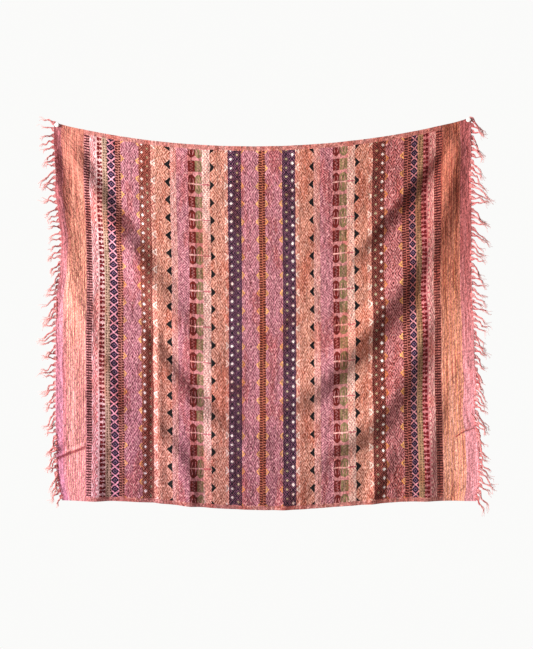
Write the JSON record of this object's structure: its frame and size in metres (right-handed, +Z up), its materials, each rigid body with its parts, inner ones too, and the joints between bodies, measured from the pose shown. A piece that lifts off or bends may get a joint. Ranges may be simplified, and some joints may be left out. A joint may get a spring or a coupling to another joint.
{
  "type": "fringed woven cloth with two push pins",
  "caption": "Landscape woven cloth with upright patterned stripes and fringed side ends, sagging in soft swag folds between push pins in its top corners.",
  "frame": {"origin": "on the wall plane, straight behind the middle of the cloth's sagging top edge", "axes": "+X to the right as the cloth is seen, +Y into the wall, +Z up; the cloth's face looks along -Y"},
  "size_m": [1.1852, 0.0362, 1.0321],
  "materials": {
    "cloth": "woven cotton, matte, in pink, rose, orange, navy and sage stripes",
    "fringe": "loose rose-pink cotton yarn",
    "pin_head": "white, smooth",
    "pin_needle": "bright steel"
  },
  "bodies": {
    "root": {"cloth": "cloth", "fringe_left": "fringe", "fringe_right": "fringe", "left_pin_head": "pin_head", "right_pin_head": "pin_head", "left_pin_needle": "pin_needle", "right_pin_needle": "pin_needle"}
  },
  "joints": []
}
